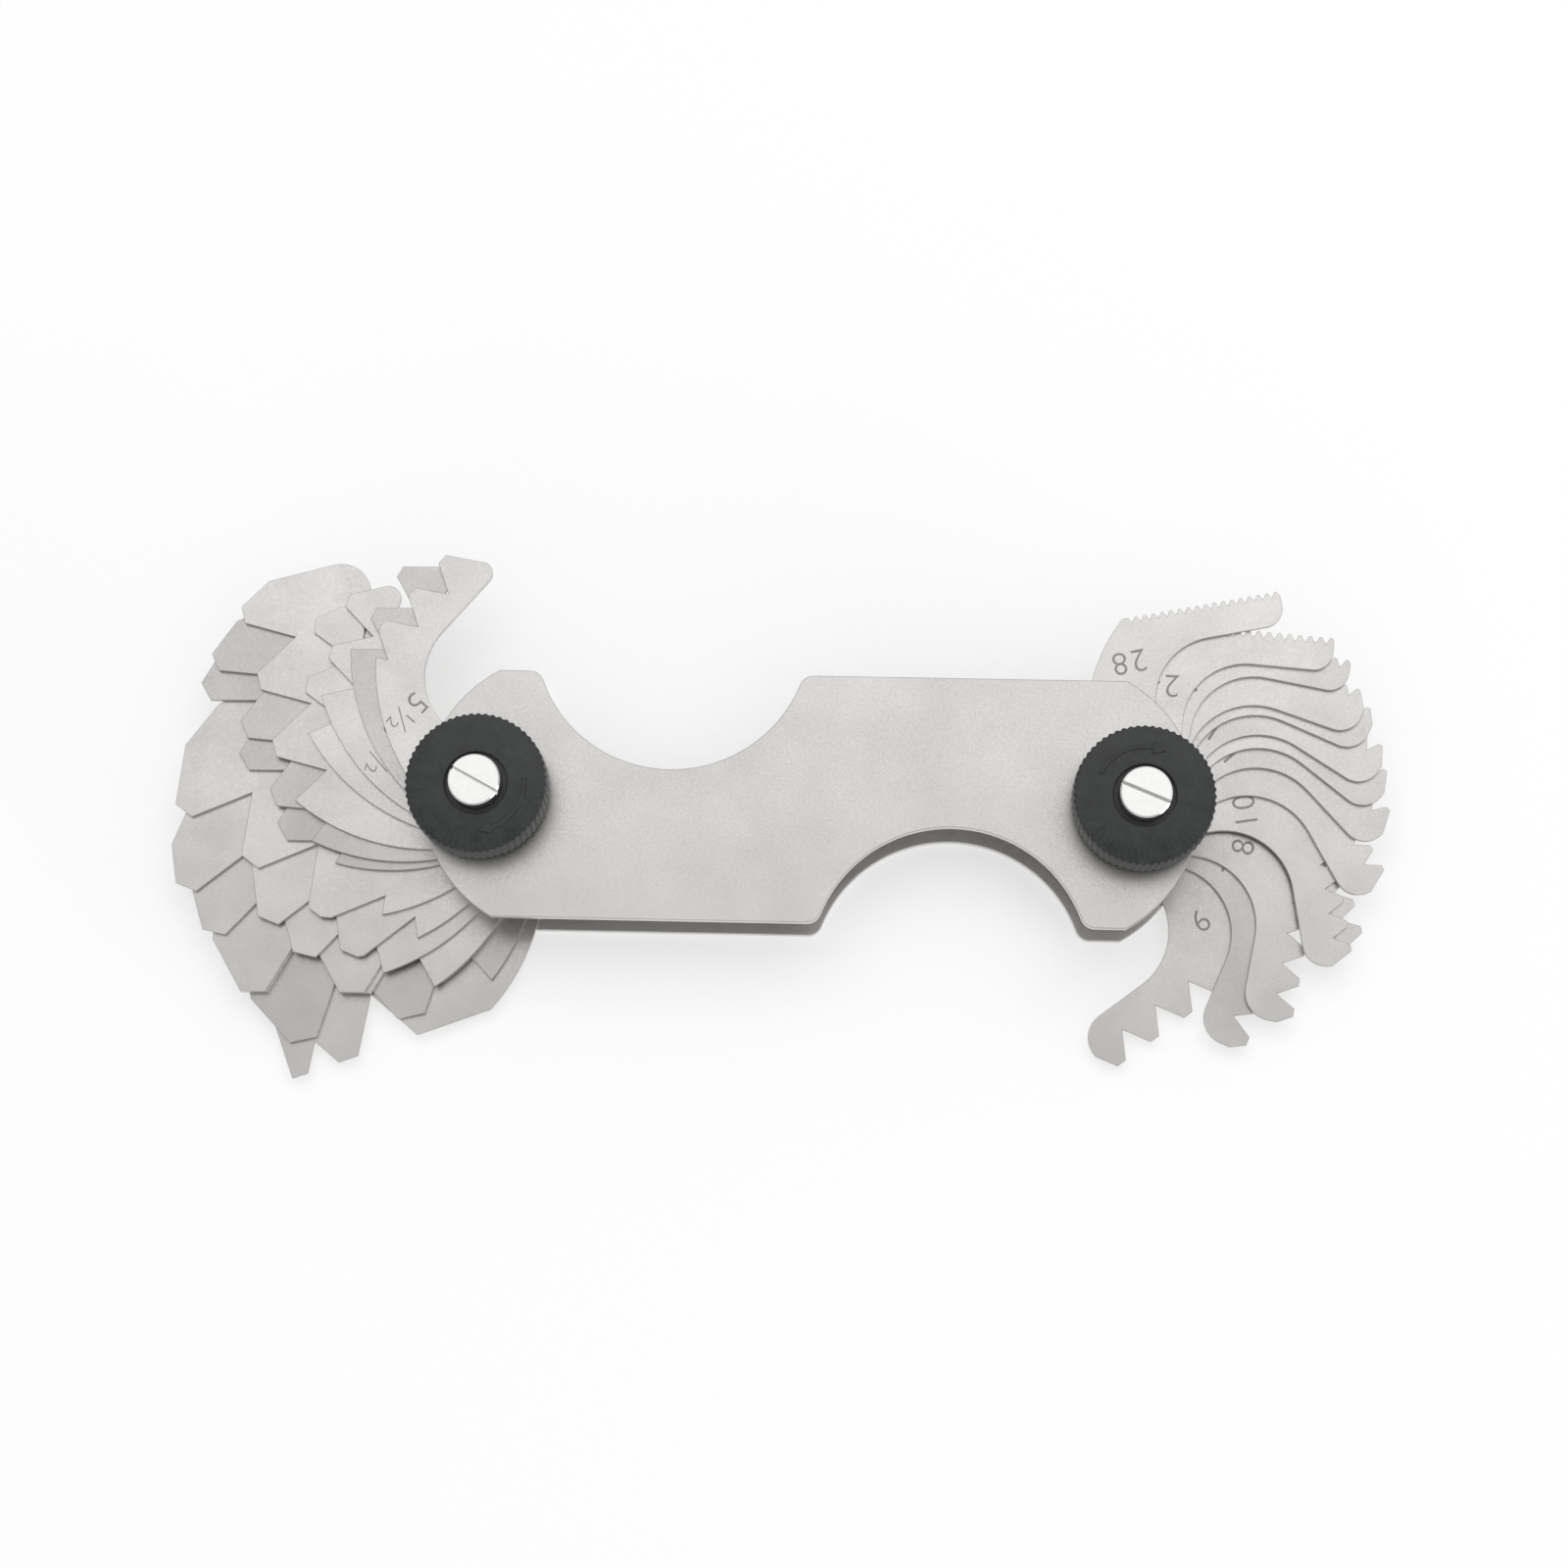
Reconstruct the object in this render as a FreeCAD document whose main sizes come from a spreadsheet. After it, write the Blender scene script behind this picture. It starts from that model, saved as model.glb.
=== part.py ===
import FreeCAD
import Part
import math
import os
import Sketcher

# Thread pitch gauge: a flat two-plate case with fourteen hinged leaves at each end.
# Frame: origin on the case's centre at the outer face of the back plate,
# +X along the case, +Y across it, +Z out of the front plate. Millimetres.

doc = FreeCAD.newDocument("thread_pitch_gauge")
sheet = doc.addObject("Spreadsheet::Sheet", "Sizes")
sheetRow = [0]


def setSize(name, value, note=""):
    sheetRow[0] += 1
    row = sheetRow[0]
    sheet.set("A%d" % row, name)
    sheet.set("B%d" % row, str(value))
    sheet.set("C%d" % row, note)
    sheet.setAlias("B%d" % row, name)


# case
setSize("pivot_spacing", 66.8, "between the two stud axes")
setSize("case_width", 25.46, "across the straight edges")
setSize("case_length", 78.78, "over the two round ends")
setSize("end_radius", 14.63, "arc of each round end")
setSize("plate_thickness", 1.0, "each case plate")
setSize("plate_gap", 7.8, "room for one stack of leaves")
setSize("notch_radius", 14.0, "finger notch")
setSize("notch_across", 16.73, "notch centre from the long axis")
setSize("notch_along", 14.38, "notch centre from the short axis")
setSize("notch_corner_radius", 1.5, "rounded corner where notch meets edge")
setSize("plate_edge_chamfer", 0.12, "broken outer edge of each plate")

# studs and knobs
setSize("stud_diameter", 5.2, "shaft through the leaves")
setSize("stud_head_diameter", 6.8, "countersunk head in the back plate")
setSize("stud_head_height", 0.8, "flush with the back plate's outer face")
setSize("stud_proud", 1.6, "stud end above the knob")
setSize("stud_slot_width", 0.4, "driver slot")
setSize("stud_slot_depth", 0.9, "driver slot")
setSize("stud_chamfer", 0.15, "stud end")
setSize("left_slot_angle", -28, "driver slot from +X")
setSize("right_slot_angle", -22, "driver slot from +X")
setSize("plate_clearance", 0.05, "front plate hole round the stud, radial")
setSize("leaf_clearance", 0.04, "leaf hole round the stud, radial")
setSize("knob_clearance", 0.03, "knob bore round the stud, radial")
setSize("knob_diameter", 14.3, "over the crests of the grip")
setSize("knob_height", 5.2, "front plate to knob top")
setSize("knob_collar_diameter", 10.4, "smaller foot under the grip")
setSize("knob_collar_height", 1.2, "foot")
setSize("knob_recess_diameter", 6.3, "sunk ring round the stud")
setSize("knob_recess_depth", 0.5, "sunk ring")
setSize("knob_top_round", 0.35, "edge of the knob's top")
setSize("knob_flute_count", 60, "grip flutes")
setSize("knob_flute_radius", 0.4, "each flute")
setSize("knob_flute_depth", 0.22, "each flute")

# leaves, all ends
setSize("inch", 25.4)
setSize("leaf_thickness", 0.525)
setSize("leaf_gap", 0.03, "between neighbours in the stack")
setSize("hub_radius", 5.0, "round eye of a leaf")
setSize("neck_side", 2.8, "straight side of the neck from the pivot")
setSize("flank_angle", 60, "slanted corner at a leaf's end")
setSize("groove_angle", 60, "thread form")
setSize("crest_flat_share", 0.25, "flat of a tooth over the pitch")
setSize("fine_crest", 19.47, "toothed edge from the pivot, right end")
setSize("coarse_crest", 19.77, "toothed edge from the pivot, left end")
setSize("fine_front_x", 14.4, "centre of the bowed front edge, right end")
setSize("fine_front_y", 5.8)
setSize("fine_front_radius", 18.5)
setSize("coarse_front_x", 17.2, "centre of the bowed front edge, left end")
setSize("coarse_front_y", 1.2)
setSize("coarse_front_radius", 21.7)

# blank kinds: end of the leaf, back edge, corner radius, hook radius
setSize("slim_end", 18.3)
setSize("slim_back", 15.95)
setSize("slim_corner", 2.0)
setSize("slim_hook", 6.6)
setSize("slim_neck", 3.6)
setSize("narrow_end", 18.2)
setSize("narrow_back", 14.6)
setSize("narrow_corner", 2.4)
setSize("narrow_hook", 7.0)
setSize("short_end", 18.2)
setSize("short_back", 14.5)
setSize("short_corner", 1.3)
setSize("short_hook", 7.0)
setSize("deep_end", 18.0)
setSize("deep_back", 14.2)
setSize("deep_corner", 2.8)
setSize("deep_hook", 7.0)
setSize("wide_end", 27.9)
setSize("wide_back", 6.3)
setSize("wide_corner", 3.2)
setSize("wide_hook", 1.5)
setSize("longer_end", 28.4)

# centre gauge leaf
setSize("centre_rest", 290.6)
setSize("centre_crest", 20.1)
setSize("centre_end", 28.0)
setSize("small_vee_near", 26.3, "small vee, tip side, from the pivot")
setSize("small_vee_far", 23.0)
setSize("large_vee_near", 20.9)
setSize("large_vee_far", 14.5)

# one line per leaf, top of the stack first:
# node, teeth per inch, tip corner from the pivot, grooves, rest angle, blank kind
fineLeaves = [
    ("leaf_28", 28, 17.97, 17, 101.3, "slim"),
    ("leaf_24", 24, 18.12, 14, 85.4, "slim"),
    ("leaf_20", 20, 18.05, 12, 79.3, "slim"),
    ("leaf_18", 18, 17.13, 10, 71.1, "narrow"),
    ("leaf_16", 16, 17.37, 9, 66.7, "narrow"),
    ("leaf_14", 14, 17.17, 8, 57.6, "narrow"),
    ("leaf_13", 13, 17.06, 7, 51.7, "narrow"),
    ("leaf_12", 12, 16.93, 6, 42.7, "narrow"),
    ("leaf_11", 11, 16.90, 6, 29.1, "narrow"),
    ("leaf_10", 10, 16.96, 5, 9.2, "narrow"),
    ("leaf_9", 9, 17.02, 5, 14.4, "narrow"),
    ("leaf_8", 8, 17.13, 4, -10.3, "deep"),
    ("leaf_7", 7, 17.14, 4, -22.6, "deep"),
    ("leaf_6", 6, 16.77, 3, -52.9, "deep"),
]
coarseLeaves = [
    ("leaf_5_half", 5.5, 16.02, 3, 139.7, "short"),
    ("leaf_5", 5, 16.18, 2, 150.3, "short"),
    ("leaf_4_half", 4.5, 16.14, 3, 164.2, "short"),
    ("leaf_4", 4, 16.73, 2, 174.6, "narrow"),
    ("leaf_3_half", 3.5, 25.94, 3, 195.6, "wide"),
    ("leaf_3_quarter", 3.25, 25.76, 3, 205.5, "wide"),
    ("leaf_3", 3, 25.42, 3, 210.7, "wide"),
    ("leaf_2_seven_eighths", 2.875, 25.26, 3, 233.6, "longer"),
    ("leaf_2_three_quarters", 2.75, 26.38, 3, 249.1, "longer"),
    ("leaf_2_five_eighths", 2.625, 25.04, 2, 257.2, "wide"),
    ("leaf_2_half", 2.5, 24.81, 2, 270.5, "wide"),
    ("leaf_2_three_eighths", 2.375, 24.83, 2, 270.5, "wide"),
    ("leaf_2_quarter", 2.25, 24.82, 2, 283.6, "wide"),
]
for leaf in fineLeaves + coarseLeaves:
    setSize(leaf[0] + "_per_inch", leaf[1])
    setSize(leaf[0] + "_tip", leaf[2])
    setSize(leaf[0] + "_grooves", leaf[3])
    setSize(leaf[0] + "_rest", leaf[4])
doc.recompute()


def size(name):
    return float(sheet.get(name))


def planeOf(body, role):
    for item in body.Origin.OriginFeatures:
        if item.Role == role:
            return item
    raise ValueError(role)


def newBody(name):
    body = doc.addObject("PartDesign::Body", name)
    body.Label = name
    return body


def newSketch(body, name, role="XY_Plane"):
    sketch = body.newObject("Sketcher::SketchObject", name)
    sketch.AttachmentSupport = [(planeOf(body, role), "")]
    sketch.MapMode = "FlatFace"
    return sketch


def bind(thing, path, formula):
    thing.setExpression(path, formula)


def rule(sketch, name, formula, *what):
    # adds one sized constraint and ties it to the sheet
    index = sketch.addConstraint(Sketcher.Constraint(*what))
    sketch.renameConstraint(index, name)
    sketch.setExpression("Constraints." + name, formula)


def vec(x, y, z=0.0):
    return FreeCAD.Vector(x, y, z)


def line(sketch, start, end):
    return sketch.addGeometry(Part.LineSegment(vec(*start), vec(*end)), False)


def circle(sketch, centre, radius):
    return sketch.addGeometry(Part.Circle(vec(*centre), vec(0, 0, 1), radius), False)


def arc(sketch, centre, radius, start, end):
    whole = Part.Circle(vec(*centre), vec(0, 0, 1), radius)
    return sketch.addGeometry(
        Part.ArcOfCircle(whole, math.radians(start), math.radians(end)), False
    )


AXIS = -1
H = "DistanceX"
V = "DistanceY"


def padUp(body, sketch, name, formula):
    pad = body.newObject("PartDesign::Pad", name)
    pad.Profile = sketch
    bind(pad, "Length", formula)
    doc.recompute()
    return pad


def cutThrough(body, sketch, name):
    doc.recompute()
    before = body.Shape.Volume
    cut = body.newObject("PartDesign::Pocket", name)
    cut.Profile = sketch
    cut.Type = 1
    cut.Midplane = True
    doc.recompute()
    if body.Shape.Volume > before - 1e-6:
        raise ValueError(name + " removed nothing")
    return cut


def drill(body, name, formula, place=(0, 0)):
    sketch = newSketch(body, name + "_outline")
    ring = circle(sketch, place, 2.0)
    if place == (0, 0):
        sketch.addConstraint(Sketcher.Constraint("Coincident", ring, 3, AXIS, 1))
    rule(sketch, "bore", formula, "Diameter", ring, 4.0)
    return cutThrough(body, sketch, name)


def polar(cx, cy, x, y):
    return math.degrees(math.atan2(y - cy, x - cx))


def meetCircles(cx, cy, radius, hub):
    # upper crossing of the bowed front edge with the round eye
    away = math.hypot(cx, cy)
    along = (away * away + hub * hub - radius * radius) / (2 * away)
    off = math.sqrt(hub * hub - along * along)
    return along * cx / away - off * cy / away, along * cy / away + off * cx / away


def blankSketch(body, node, tipName, crestName, front, kind, squareEnd=False):
    crest = size(crestName)
    hub = size("hub_radius")
    hookKind = {"longer": "wide", "centre": "wide"}.get(kind, kind)
    endName = kind + "_end"
    backName = hookKind + "_back"
    cornerName = hookKind + "_corner"
    hookName = hookKind + "_hook"
    neckName = "slim_neck" if kind == "slim" else "neck_side"
    end = size(endName)
    back = size(backName)
    corner = size(cornerName)
    hook = size(hookName)
    neck = size(neckName)
    fx = size(front + "_front_x")
    fy = size(front + "_front_y")
    fr = size(front + "_front_radius")
    slope = math.tan(math.radians(size("flank_angle")))
    crestStart = (fx - math.sqrt(fr * fr - (crest - fy) ** 2), crest)
    hubFront = meetCircles(fx, fy, fr, hub)
    hubNeck = (neck, math.sqrt(hub * hub - neck * neck))
    sketch = newSketch(body, node + "_blank_outline")
    if squareEnd:
        shoulder = (end, crest)
    else:
        tip = size(tipName)
        shoulder = (end, crest - (end - tip) * slope)
    corners = []
    if squareEnd:
        top = line(sketch, crestStart, shoulder)
        flank = None
    else:
        top = line(sketch, crestStart, (tip, crest))
        flank = line(sketch, (tip, crest), shoulder)
    side = line(sketch, shoulder, (end, back + corner))
    bend = arc(sketch, (end - corner, back + corner), corner, 270, 360)
    backEdge = line(sketch, (end - corner, back), (neck + hook, back))
    hookArc = arc(sketch, (neck + hook, back - hook), hook, 90, 180)
    neckEdge = line(sketch, (neck, back - hook), hubNeck)
    eye = arc(sketch, (0, 0), hub, polar(0, 0, *hubFront), polar(0, 0, *hubNeck) + 360)
    bow = arc(sketch, (fx, fy), fr, polar(fx, fy, *crestStart), polar(fx, fy, *hubFront) + 360)
    con = Sketcher.Constraint
    joins = [
        con("Horizontal", top),
        con("Vertical", side),
        con("Horizontal", backEdge),
        con("Vertical", neckEdge),
        con("Tangent", side, 2, bend, 2),
        con("Tangent", bend, 1, backEdge, 1),
        con("Tangent", backEdge, 2, hookArc, 1),
        con("Tangent", hookArc, 2, neckEdge, 1),
        con("Coincident", neckEdge, 2, eye, 2),
        con("Coincident", eye, 3, AXIS, 1),
        con("Coincident", eye, 1, bow, 2),
        con("Coincident", bow, 1, top, 1),
    ]
    if squareEnd:
        joins.append(con("Coincident", top, 2, side, 1))
    else:
        joins.append(con("Coincident", top, 2, flank, 1))
        joins.append(con("Coincident", flank, 2, side, 1))
    sketch.addConstraint(joins)
    rule(sketch, "crest", "Sizes." + crestName, V, AXIS, 1, top, 2, crest)
    if squareEnd:
        rule(sketch, "end", "Sizes." + endName, H, AXIS, 1, side, 1, end)
    else:
        rule(sketch, "tip", "Sizes." + tipName, H, AXIS, 1, flank, 1, tip)
        rule(sketch, "end", "Sizes." + endName, H, AXIS, 1, side, 1, end)
        rule(
            sketch, "drop",
            "(Sizes.%s - Sizes.%s) * tan(Sizes.flank_angle)" % (endName, tipName),
            V, flank, 2, flank, 1, crest - shoulder[1],
        )
    rule(sketch, "back", "Sizes." + backName, V, AXIS, 1, backEdge, 1, back)
    rule(sketch, "corner", "Sizes." + cornerName, "Radius", bend, corner)
    rule(sketch, "hook", "Sizes." + hookName, "Radius", hookArc, hook)
    rule(sketch, "neck", "Sizes." + neckName, H, AXIS, 1, neckEdge, 1, neck)
    rule(sketch, "hub", "Sizes.hub_radius", "Radius", eye, hub)
    rule(sketch, "bow", "Sizes.%s_front_radius" % front, "Radius", bow, fr)
    rule(sketch, "bow_x", "Sizes.%s_front_x" % front, H, AXIS, 1, bow, 3, fx)
    rule(sketch, "bow_y", "Sizes.%s_front_y" % front, V, AXIS, 1, bow, 3, fy)
    return sketch


def veeSketch(body, name, crestName, near, far, nearFormula, farFormula):
    # sharp 60 degree groove, open upwards a little past the crest
    crest = size(crestName)
    half = math.tan(math.radians(size("groove_angle") / 2))
    rise = 0.4
    middle = (near + far) / 2
    apex = (middle, crest - (near - far) / 2 / half)
    left = (far - rise * half, crest + rise)
    right = (near + rise * half, crest + rise)
    sketch = newSketch(body, name + "_outline")
    one = line(sketch, left, apex)
    two = line(sketch, apex, right)
    three = line(sketch, right, left)
    con = Sketcher.Constraint
    sketch.addConstraint([
        con("Coincident", one, 2, two, 1),
        con("Coincident", two, 2, three, 1),
        con("Coincident", three, 2, one, 1),
        con("Horizontal", three),
    ])
    width = "(%s - (%s))" % (nearFormula, farFormula)
    rule(sketch, "middle", "(%s + %s) / 2" % (nearFormula, farFormula), H, AXIS, 1, one, 2, middle)
    rule(
        sketch, "root", "Sizes.%s - %s / 2 / tan(Sizes.groove_angle / 2)" % (crestName, width),
        V, AXIS, 1, one, 2, apex[1],
    )
    rule(sketch, "mouth", "Sizes.%s + %s" % (crestName, rise), V, AXIS, 1, one, 1, crest + rise)
    rule(
        sketch, "left_half", "%s / 2 + %s * tan(Sizes.groove_angle / 2)" % (width, rise),
        H, one, 1, one, 2, middle - left[0],
    )
    rule(
        sketch, "right_half", "%s / 2 + %s * tan(Sizes.groove_angle / 2)" % (width, rise),
        H, two, 1, two, 2, right[0] - middle,
    )
    return sketch


def placeLeaf(body, side, layer, restName):
    body.Placement = FreeCAD.Placement(vec(1, 1, 1), FreeCAD.Rotation(vec(0, 0, 1), 10))
    bind(body, ".Placement.Base.x", "%d * Sizes.pivot_spacing / 2" % side)
    bind(body, ".Placement.Base.y", "0 mm")
    bind(
        body, ".Placement.Base.z",
        "Sizes.plate_thickness + Sizes.plate_gap - %d * (Sizes.leaf_thickness + Sizes.leaf_gap)" % (layer + 1),
    )
    bind(body, ".Placement.Rotation.Angle", "Sizes.%s - 90" % restName)


def threadLeaf(leaf, side, layer):
    node, perInch, tip, grooves, rest, kind = leaf
    front = "fine" if side > 0 else "coarse"
    crestName = front + "_crest"
    tipName = node + "_tip"
    body = newBody(node)
    blank = blankSketch(body, node, tipName, crestName, front, kind)
    padUp(body, blank, node + "_blank", "Sizes.leaf_thickness")
    drill(body, node + "_eye", "Sizes.stud_diameter + 2 * Sizes.leaf_clearance")
    pitch = size("inch") / perInch
    flat = size("crest_flat_share")
    pitchText = "Sizes.inch / Sizes.%s_per_inch" % node
    nearText = "Sizes.%s - Sizes.crest_flat_share * %s" % (tipName, pitchText)
    farText = "Sizes.%s - %s" % (tipName, pitchText)
    vee = veeSketch(body, node + "_groove", crestName, tip - flat * pitch, tip - pitch, nearText, farText)
    groove = cutThrough(body, vee, node + "_groove")
    row = body.newObject("PartDesign::LinearPattern", node + "_teeth")
    row.Originals = [groove]
    row.Direction = (planeOf(body, "X_Axis"), [""])
    row.Reversed = True
    bind(row, "Length", "(Sizes.%s_grooves - 1) * %s" % (node, pitchText))
    bind(row, "Occurrences", "Sizes.%s_grooves" % node)
    body.Tip = row
    doc.recompute()
    placeLeaf(body, side, layer, node + "_rest")
    return body


def centreLeaf(side, layer):
    node = "centre_gauge_leaf"
    body = newBody(node)
    blank = blankSketch(body, node, None, "centre_crest", "coarse", "centre", True)
    padUp(body, blank, node + "_blank", "Sizes.leaf_thickness")
    drill(body, node + "_eye", "Sizes.stud_diameter + 2 * Sizes.leaf_clearance")
    for kind in ("small", "large"):
        near = kind + "_vee_near"
        far = kind + "_vee_far"
        vee = veeSketch(
            body, kind + "_vee", "centre_crest", size(near), size(far), "Sizes." + near, "Sizes." + far
        )
        cutThrough(body, vee, kind + "_vee")
    placeLeaf(body, side, layer, "centre_rest")
    return body


def casePlate(node, heightFormula):
    body = newBody(node)
    sketch = newSketch(body, node + "_outline")
    half = size("case_width") / 2
    radius = size("end_radius")
    centre = size("case_length") / 2 - radius
    reach = centre + math.sqrt(radius * radius - half * half)
    tilt = math.degrees(math.asin(half / radius))
    upper = line(sketch, (reach, half), (-reach, half))
    leftEnd = arc(sketch, (-centre, 0), radius, 180 - tilt, 180 + tilt)
    lower = line(sketch, (-reach, -half), (reach, -half))
    rightEnd = arc(sketch, (centre, 0), radius, -tilt, tilt)
    con = Sketcher.Constraint
    sketch.addConstraint([
        con("Horizontal", upper),
        con("Horizontal", lower),
        con("Coincident", upper, 2, leftEnd, 1),
        con("Coincident", leftEnd, 2, lower, 1),
        con("Coincident", lower, 2, rightEnd, 1),
        con("Coincident", rightEnd, 2, upper, 1),
        con("PointOnObject", leftEnd, 3, AXIS),
        con("Vertical", upper, 2, lower, 1),
        con("Equal", leftEnd, rightEnd),
        con("Symmetric", leftEnd, 3, rightEnd, 3, AXIS, 1),
    ])
    rule(sketch, "end_radius", "Sizes.end_radius", "Radius", rightEnd, radius)
    rule(sketch, "width", "Sizes.case_width", V, lower, 1, upper, 2, 2 * half)
    rule(sketch, "end_centre", "Sizes.case_length / 2 - Sizes.end_radius", H, AXIS, 1, rightEnd, 3, centre)
    padUp(body, sketch, node + "_blank", "Sizes.plate_thickness")
    notches = newSketch(body, node + "_notch_outline")
    for side in (1, -1):
        x = side * size("notch_along")
        y = -side * size("notch_across")
        ring = circle(notches, (x, y), size("notch_radius"))
        name = "right" if side > 0 else "left"
        rule(notches, name + "_radius", "Sizes.notch_radius", "Radius", ring, size("notch_radius"))
        if side > 0:
            rule(notches, name + "_along", "Sizes.notch_along", H, AXIS, 1, ring, 3, abs(x))
            rule(notches, name + "_across", "Sizes.notch_across", V, ring, 3, AXIS, 1, abs(y))
        else:
            rule(notches, name + "_along", "Sizes.notch_along", H, ring, 3, AXIS, 1, abs(x))
            rule(notches, name + "_across", "Sizes.notch_across", V, AXIS, 1, ring, 3, abs(y))
    cutThrough(body, notches, node + "_notches")
    corners = []
    for index, edge in enumerate(body.Shape.Edges):
        points = [v.Point for v in edge.Vertexes]
        if len(points) != 2 or abs(points[0].z - points[1].z) < 0.5:
            continue
        p = points[0]
        if abs(abs(p.y) - half) < 0.01 and abs(p.x) < reach - 1:
            corners.append("Edge%d" % (index + 1))
    if len(corners) != 4:
        raise ValueError("notch corners")
    notched = body.Tip
    rounding = body.newObject("PartDesign::Fillet", node + "_notch_corners")
    rounding.Base = (notched, corners)
    bind(rounding, "Radius", "Sizes.notch_corner_radius")
    doc.recompute()
    body.Placement = FreeCAD.Placement()
    bind(body, ".Placement.Base.z", heightFormula)
    return body


def studHoles(body, name, formula):
    sketch = newSketch(body, name + "_outline")
    half = size("pivot_spacing") / 2
    for side in (1, -1):
        ring = circle(sketch, (side * half, 0), 2.6)
        word = "right" if side > 0 else "left"
        sketch.addConstraint(Sketcher.Constraint("PointOnObject", ring, 3, AXIS))
        ends = (AXIS, 1, ring, 3) if side > 0 else (ring, 3, AXIS, 1)
        rule(sketch, word + "_along", "Sizes.pivot_spacing / 2", H, *ends, half)
        rule(sketch, word + "_bore", formula, "Diameter", ring, 5.2)
    return cutThrough(body, sketch, name)


def countersinks(body, name):
    # cone seats for the two stud heads, cut from the outer face
    for side in (1, -1):
        word = "right" if side > 0 else "left"
        sketch = newSketch(body, "%s_%s_outline" % (word, name), "XZ_Plane")
        half = size("pivot_spacing") / 2
        head = size("stud_head_diameter") / 2
        shaft = size("stud_diameter") / 2
        deep = size("stud_head_height")
        x = side * half
        base = line(sketch, (x, 0), (x + head, 0))
        cone = line(sketch, (x + head, 0), (x + shaft, deep))
        roof = line(sketch, (x + shaft, deep), (x, deep))
        axis = line(sketch, (x, deep), (x, 0))
        con = Sketcher.Constraint
        sketch.addConstraint([
            con("Coincident", base, 2, cone, 1),
            con("Coincident", cone, 2, roof, 1),
            con("Coincident", roof, 2, axis, 1),
            con("Coincident", axis, 2, base, 1),
            con("Horizontal", base),
            con("Horizontal", roof),
            con("Vertical", axis),
            con("PointOnObject", base, 1, AXIS),
        ])
        ends = (AXIS, 1, base, 1) if side > 0 else (base, 1, AXIS, 1)
        rule(sketch, "along", "Sizes.pivot_spacing / 2", H, *ends, half)
        rule(sketch, "head", "Sizes.stud_head_diameter / 2", H, base, 1, base, 2, head)
        rule(sketch, "shaft", "Sizes.stud_diameter / 2", H, roof, 2, roof, 1, shaft)
        rule(sketch, "deep", "Sizes.stud_head_height", V, axis, 2, axis, 1, deep)
        before = body.Shape.Volume
        seat = body.newObject("PartDesign::Groove", "%s_%s" % (word, name))
        seat.Profile = sketch
        seat.ReferenceAxis = (sketch, ["Edge%d" % (axis + 1)])
        seat.Angle = 360
        doc.recompute()
        if body.Shape.Volume > before - 1e-6:
            raise ValueError("countersink removed nothing")


def lathe(body, name, points, lengths):
    # turned shape from a closed half outline; lengths holds (point, across formula, up formula)
    sketch = newSketch(body, name + "_outline", "XZ_Plane")
    lines = []
    count = len(points)
    for i in range(count):
        lines.append(line(sketch, points[i], points[(i + 1) % count]))
    con = Sketcher.Constraint
    for i in range(count):
        sketch.addConstraint(con("Coincident", lines[i], 2, lines[(i + 1) % count], 1))
    for i, (across, up) in enumerate(lengths):
        x, y = points[i]
        if across is None:
            sketch.addConstraint(con("PointOnObject", lines[i], 1, -2))
        else:
            rule(sketch, "across_%d" % i, across, H, AXIS, 1, lines[i], 1, x)
        if up is None:
            sketch.addConstraint(con("PointOnObject", lines[i], 1, AXIS))
        else:
            rule(sketch, "up_%d" % i, up, V, AXIS, 1, lines[i], 1, y)
    turned = body.newObject("PartDesign::Revolution", name)
    turned.Profile = sketch
    turned.ReferenceAxis = (sketch, ["V_Axis"])
    turned.Angle = 360
    doc.recompute()
    return turned


stackText = "(2 * Sizes.plate_thickness + Sizes.plate_gap)"
studTopText = stackText + " + Sizes.knob_height + Sizes.stud_proud"
stack = 2 * size("plate_thickness") + size("plate_gap")
studTop = stack + size("knob_height") + size("stud_proud")


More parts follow.
